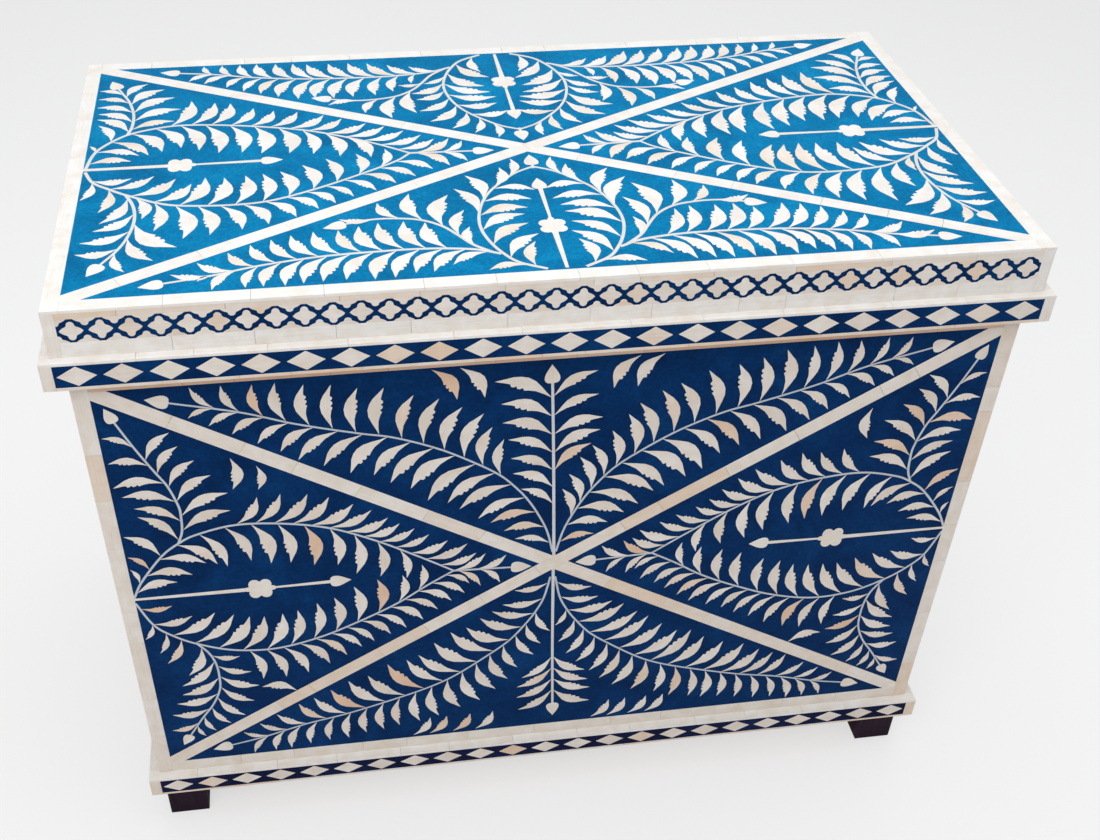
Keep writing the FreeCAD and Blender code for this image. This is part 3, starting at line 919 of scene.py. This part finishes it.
top_loops = (
    (1, [(-995, 10), (-984, 130), (-963, 210), (-914, 305), (-848, 357), (-779, 375), (-662, 347),
         (-529, 285), (-445, 218), (-348, 112), (-270, 4)],
     ((1, 90, 157, 22, (36, 42), (45, 60)),
      (1, 329, 962, 22.2, (61, 52, 41, 45, 49, 50, 43), (60, 75, 66, 56, 53, 52, 62)),
      (-1, 25, 814, 27.6, (40, 53, 56, 66, 64, 56, 48), (82, 90, 76, 68, 68, 60, 38))),
     [(-914, 305), (-906, 373), (-904, 461), (-908, 541), (-921, 645), (-938, 725), (-950, 780)],
     ((1, 60, 860, 26.5, (48, 44, 42, 34), (60, 56, 60, 45)),
      (-1, 108, 800, 22.8, (45, 54, 52, 38), (58, 62, 60, 58)))),
    (-1, [(-995, -20), (-975, -113), (-938, -177), (-900, -233), (-830, -315), (-775, -348), (-674, -363),
          (-589, -345), (-493, -270), (-396, -170), (-306, -64), (-270, 4)],
     ((1, 64, 125, 22, (36, 43), (48, 60)),
      (1, 213, 940, 22.8, (61, 63, 52, 42, 36, 40, 42), (48, 73, 62, 61, 70, 68, 66)),
      (-1, 55, 891, 28, (38, 51, 59, 58, 53, 50, 38), (64, 68, 76, 78, 76, 68, 50))),
     [(-900, -233), (-884, -309), (-876, -387), (-876, -477), (-887, -588), (-905, -677), (-932, -765)],
     ((1, 60, 780, 34, (52, 48, 46, 38), (52, 56, 57, 60)),
      (-1, 438, 840, 29, (60, 50, 36), (43, 48, 43)))))
top_tail_rows = (
    (1, 100, 520, 28, (44, 36), (42, 44)),
    (-1, 100, 520, 28, (44, 38), (42, 40)))
ring_half = [
    (-40, 988), (-93, 930), (-120, 860), (-141, 770), (-153, 665), (-150, 560), (-134, 450), (-105, 350),
    (-48, 230), (0, 175)]
ring_row = (1, 45, 740, 30, (44, 50, 51, 56, 51, 45, 40), (70, 72, 68, 68, 70, 70, 60))
back_rows = {
    "ring": (ring_row, (-1, 310, 870, 20.6, (36, 48, 50, 47, 42), (40, 62, 70, 58, 42))),
    "long": (
        (-1, 60, 880, 25.4, (34, 50, 50, 48, 44, 36), (46, 53, 52, 57, 52, 50)),
        (1, 141, 880, 20.5, (36, 48, 52, 50, 45, 32), (69, 76, 72, 72, 68, 45))),
    "short": (
        (1, 440, 810, 20.3, (56, 55, 43, 34), (52, 60, 54, 14)),
        (-1, 300, 300, 20.3, (36,), (50,)))}
front_rows = {
    "ring": (
        ring_row, (-1, 80, 80, 20, (36,), (36,)),
        (-1, 531, 870, 28.7, (55, 50, 48, 39), (34, 40, 26, 36))),
    "long": (
        (1, 163, 860, 21.4, (56, 57, 48, 52, 44, 36, 38), (64, 70, 70, 64, 68, 60, 20)),
        (-1, 40, 860, 23.4, (44, 54, 53, 52, 48, 42, 34), (58, 60, 60, 57, 58, 60, 14))),
    "short": (
        (1, 141, 824, 23.5, (53, 50, 60, 52, 37, 37), (38, 47, 52, 53, 52, 10)),)}
long_branch = [
    (-125, 860), (-180, 815), (-277, 790), (-385, 790), (-500, 803), (-620, 842), (-716, 893),
    (-805, 925)]
short_branch = [
    (-138, 850), (-178, 780), (-205, 700), (-234, 625), (-277, 568), (-333, 545), (-385, 545),
    (-435, 568)]


def top_panel(seed):
    """The foliage of the lid: the loops again, and in the long triangles a ring with four branches."""
    panel = Panel(*panels["top"][1:3], seed, 0.75, 1.04, 1.12)
    slip = {"root_width": 0.0036, "tip_width": 0.0028, "tone": 0.72}
    side_loops(
        panel, top_loops, -270, -125, top_tail_rows, -788, -607.5,
        (0.005, 0.0066, 0.0026, 0.0052), slip, bud_length)
    for y, branch_rows in ((1, back_rows), (-1, front_rows)):
        panel.stem([(0, 988 * y), (0, 674 * y)], 0.0034, 0.0068, 1.0)
        axis = panel.stem([(0, 674 * y), (0, 370 * y)], 0.0024, 0.005, 1.0)
        panel.flower(0, 674 * y, math.pi / 2)
        panel.bud(axis)
        panel.bud(panel.stem([(0, 190 * y), (0, 160 * y)], **slip))
        for x in (1, -1):
            for name, line in (("ring", ring_half), ("long", long_branch), ("short", short_branch)):
                stem = panel.stem(mirrored(line, x, y), **slip)
                panel.rows(stem, x * y, branch_rows[name])
                if name != "ring":
                    panel.bud(stem)
    panel.grow()
    return panel


def lay_stem(layer, face, level, line, root_width, tip_width, tone):
    """A narrow slip of bone: one cross edge drawn along the line, then given its thickness."""
    marks = line[::3] if len(line) % 3 == 1 else np.vstack([line[::3], line[-1:]])
    piece = new_layer()
    ways = np.gradient(marks, axis=0)
    sides = np.c_[-ways[:, 1], ways[:, 0]] / np.hypot(ways[:, 0], ways[:, 1])[:, None]
    widths = np.linspace(root_width, tip_width, len(marks))[:, None]
    lefts, rights = marks + sides * widths / 2, marks - sides * widths / 2
    ends = [piece.verts.new((*lefts[0], level)), piece.verts.new((*rights[0], level))]
    edge = piece.edges.new(ends)
    for left, right in zip(lefts[1:], rights[1:]):
        drawn = bmesh.ops.extrude_edge_only(piece, edges=[edge])["geom"]
        edge = [item for item in drawn if isinstance(item, bmesh.types.BMEdge)][0]
        new = [item for item in drawn if isinstance(item, bmesh.types.BMVert)]
        if math.dist(new[0].co.xy, ends[0].co.xy) > math.dist(new[1].co.xy, ends[0].co.xy):
            new.reverse()
        new[0].co, new[1].co = (*left, level), (*right, level)
        ends = new
    thicken(piece, piece.faces[:], leaf_depth)
    glue_down(layer, piece, Matrix(), face, tone)


# The narrow slips are sanded thin, and resin shows through them and lies over their edges
thin_bone = bone_finish("thin_bone_slips", [
    (0.0, (0.36, 0.47, 0.62)), (0.3, (0.52, 0.6, 0.7)), (0.7, (0.78, 0.78, 0.77)),
    (1.0, (0.88, 0.85, 0.8))])
slip_level = -0.00004
slip_stagger = 0.00001
bud_tone = tones_from(0.2, 0.8)
flower_tone = tones_from(0.4, 0.7)


def lay_foliage(side, panel):
    """Stems first, then leaves, then buds and flowers over the ends of the stems."""
    face, *_, body = panels[side]
    finish, most = (painted_light_bone, 0.86) if side == "top" else (bone, 0.96)
    layer = new_layer()
    for number, stem in enumerate(panel.stems):
        lay_stem(layer, face, slip_level - number % 6 * slip_stagger, *stem)
    finished(layer, side + "_stem_bone", thin_bone, body)

    layer = new_layer()
    for leaf in panel.leaves:
        place = (leaf["x"], leaf["y"], leaf["angle"])
        tone = any_tone(most)
        set_cut(layer, face, leaf_outline, leaf_size(leaf), leaf_depth, place, tone, ease=leaf_ease)
    bone_piece(layer, side + "_leaf_bone", body, finish=finish)

    layer = new_layer()
    for x, y, angle, length in panel.buds:
        set_cut(layer, face, bud_outline, length, leaf_depth, (x, y, angle), bud_tone(), ease=leaf_ease)
    for place in panel.flowers:
        set_cut(layer, face, flower_outline, flower_size, leaf_depth, place, flower_tone(), ease=leaf_ease)
    bone_piece(layer, side + "_bud_bone", body, finish=finish)


for seed, side in enumerate(four_sides, 3):
    lay_foliage(side, upright_panel(side, seed))
lay_foliage("top", top_panel(9))


# Hinges: two butt hinges of cast brass let into the back rims, each leaf held by three countersunk
# slotted screws that lie just under the rim.

rim_height = 0.687
screw_radius = 0.0026
screw_head = 0.001
screw_half_share = 0.96
screw_slot = 0.0007
screw_rise = 0.00012
screw_overlap = 0.0002
screw_inset = 0.0095
screw_spacing = 0.02
screw_stagger = 0.003
screw_sink = 0.0002


def brass_finish():
    finish, tree, shader = new_finish("aged_brass")
    stain = cloud(tree, coordinates(tree, (1, 1, 1)), 120.0, 5.0, 0.62, 0.5)
    scuffs = cloud(tree, coordinates(tree, (120, 1800, 1800)), 1.0, 3.0, 0.6)
    colour = shades(tree, stain, [
        (0.3, (0.4, 0.26, 0.1)), (0.52, (0.66, 0.46, 0.19)), (0.72, (0.8, 0.6, 0.29))])
    roughness = shades(tree, scuffs, [(0.25, 0.48), (0.75, 0.26)])
    feed(tree, shader.inputs["Metallic"], 1.0)
    surface(tree, shader, colour, roughness, [(stain, 0.00006), (scuffs, 0.00002)])
    return finish


brass = brass_finish()
coat(
    brass, "hinge_body_leaf_left", "hinge_body_leaf_right", "hinge_lid_leaf_left", "hinge_lid_leaf_right",
    "hinge_pins")


def lay_screw(mesh, place, up, turn):
    """A countersunk head: a low disc with two raised halves that leave the slot between them."""
    on_leaf = Matrix.Translation(place) @ Matrix.Rotation(turn, 4, "Z")
    if up < 0:
        on_leaf = on_leaf @ Matrix.Rotation(math.pi, 4, "X")
    for half in (0, -1, 1):
        piece = bmesh.new()
        radius = screw_radius * screw_half_share if half else screw_radius
        bmesh.ops.create_circle(piece, cap_ends=True, radius=radius, segments=24)
        if half:
            saw(piece, (0, half * screw_slot / 2), (0, -half))
            bmesh.ops.translate(piece, verts=piece.verts[:], vec=(0, 0, screw_rise))
        thicken(piece, piece.faces[:], screw_rise + screw_overlap if half else screw_head)
        bmesh.ops.transform(piece, matrix=on_leaf, verts=piece.verts[:])
        piece.to_mesh(cutting)
        piece.free()
        mesh.from_mesh(cutting)


for part, up, body in (("body", 1, "chest"), ("lid", -1, "lid")):
    screws = bmesh.new()
    for hand in ("left", "right"):
        low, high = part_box("hinge_" + part + "_leaf_" + hand)
        for step in (-1, 0, 1):
            place = (
                (low.x + high.x) / 2 + step * screw_spacing,
                low.y + screw_inset - screw_stagger * (step == 0),
                rim_height - up * screw_sink)
            lay_screw(screws, place, up, pick.uniform(0, math.pi))
    finished(screws, "hinge_screws_" + part, brass, body)


# Floor: a plain pale sheet that keeps the chest's shadow.

paper, tree, shader = new_finish("pale_floor")
for name, value in (("Base Color", (0.9, 0.9, 0.9)), ("Roughness", 0.9), ("Specular IOR Level", 0.1)):
    feed(tree, shader.inputs[name], value)
seen = add_node(tree, "LightPath", "Is Camera Ray", {})
share = add_node(tree, "Math", "Value", {0: seen, 1: 0.62}, operation="MULTIPLY")
white = add_node(tree, "Emission", "Emission", {"Color": (1, 1, 1), "Strength": 1.0})
brighter = add_node(tree, "MixShader", "Shader", {"Fac": share, 1: shader.outputs["BSDF"], 2: white})
feed(tree, tree.nodes["Material Output"].inputs["Surface"], brighter)
sheet = bmesh.new()
bmesh.ops.create_grid(sheet, x_segments=1, y_segments=1, size=14.0)
floor = with_finish(sheet, "studio_floor", paper)
floor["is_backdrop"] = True


# Light: a large soft panel overhead, slightly cool, a warm one in front beside the camera, and an
# even grey from all round; what the camera sees past the floor is white.

def soft_panel(name, place, target, size, power, colour):
    light = bpy.data.lights.new(name, "AREA")
    light.shape = "RECTANGLE"
    light.size, light.size_y = size
    light.energy = power
    light.color = colour
    way = Vector(target) - Vector(place)
    lamp = put_in_scene(name, light)
    lamp.matrix_world = Matrix.Translation(place) @ way.to_track_quat("-Z", "Y").to_matrix().to_4x4()


soft_panel("overhead_panel", (0.2, 0.3, 3.0), (0, 0, 0.4), (3.2, 2.6), 50.0, (0.97, 0.985, 1.0))
soft_panel("front_panel", (-0.9, -2.1, 2.7), (0, 0, 0.5), (2.2, 1.4), 37.5, (1.0, 0.965, 0.95))

room = bpy.data.worlds.new("studio")
bpy.context.scene.world = room
room.use_nodes = True
tree = room.node_tree
seen = add_node(tree, "LightPath", "Is Camera Ray", {})
grey, white = (
    add_node(tree, "Background", "Background", {"Color": colour, "Strength": strength})
    for colour, strength in (((0.96, 0.98, 1.0), 0.34), ((1, 1, 1), 1.0)))
behind = add_node(tree, "MixShader", "Shader", {"Fac": seen, 1: grey, 2: white})
feed(tree, tree.nodes["World Output"].inputs["Surface"], behind)
bpy.context.scene.view_settings.view_transform = "Standard"


# Camera: held by a standing person a step left of the middle, looking down on the lid.

camera_data = bpy.data.cameras.new("camera")
camera_data.sensor_width = 36.0
camera_data.lens = 44.63
camera_data.shift_x = 0.0409
camera_data.shift_y = 0.0636
camera = put_in_scene("camera", camera_data)
right, up, backward = (0.9892, -0.1453, 0.0169), (0.0818, 0.645, 0.7598), (-0.1213, -0.7503, 0.6499)
camera.matrix_world = (
    Matrix.Translation((-0.236, -1.3663, 1.4576)) @ Matrix((right, up, backward)).transposed().to_4x4())
bpy.context.scene.camera = camera


# Size of the dressed chest, without the floor.

bpy.data.meshes.remove(cutting)
low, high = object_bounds()
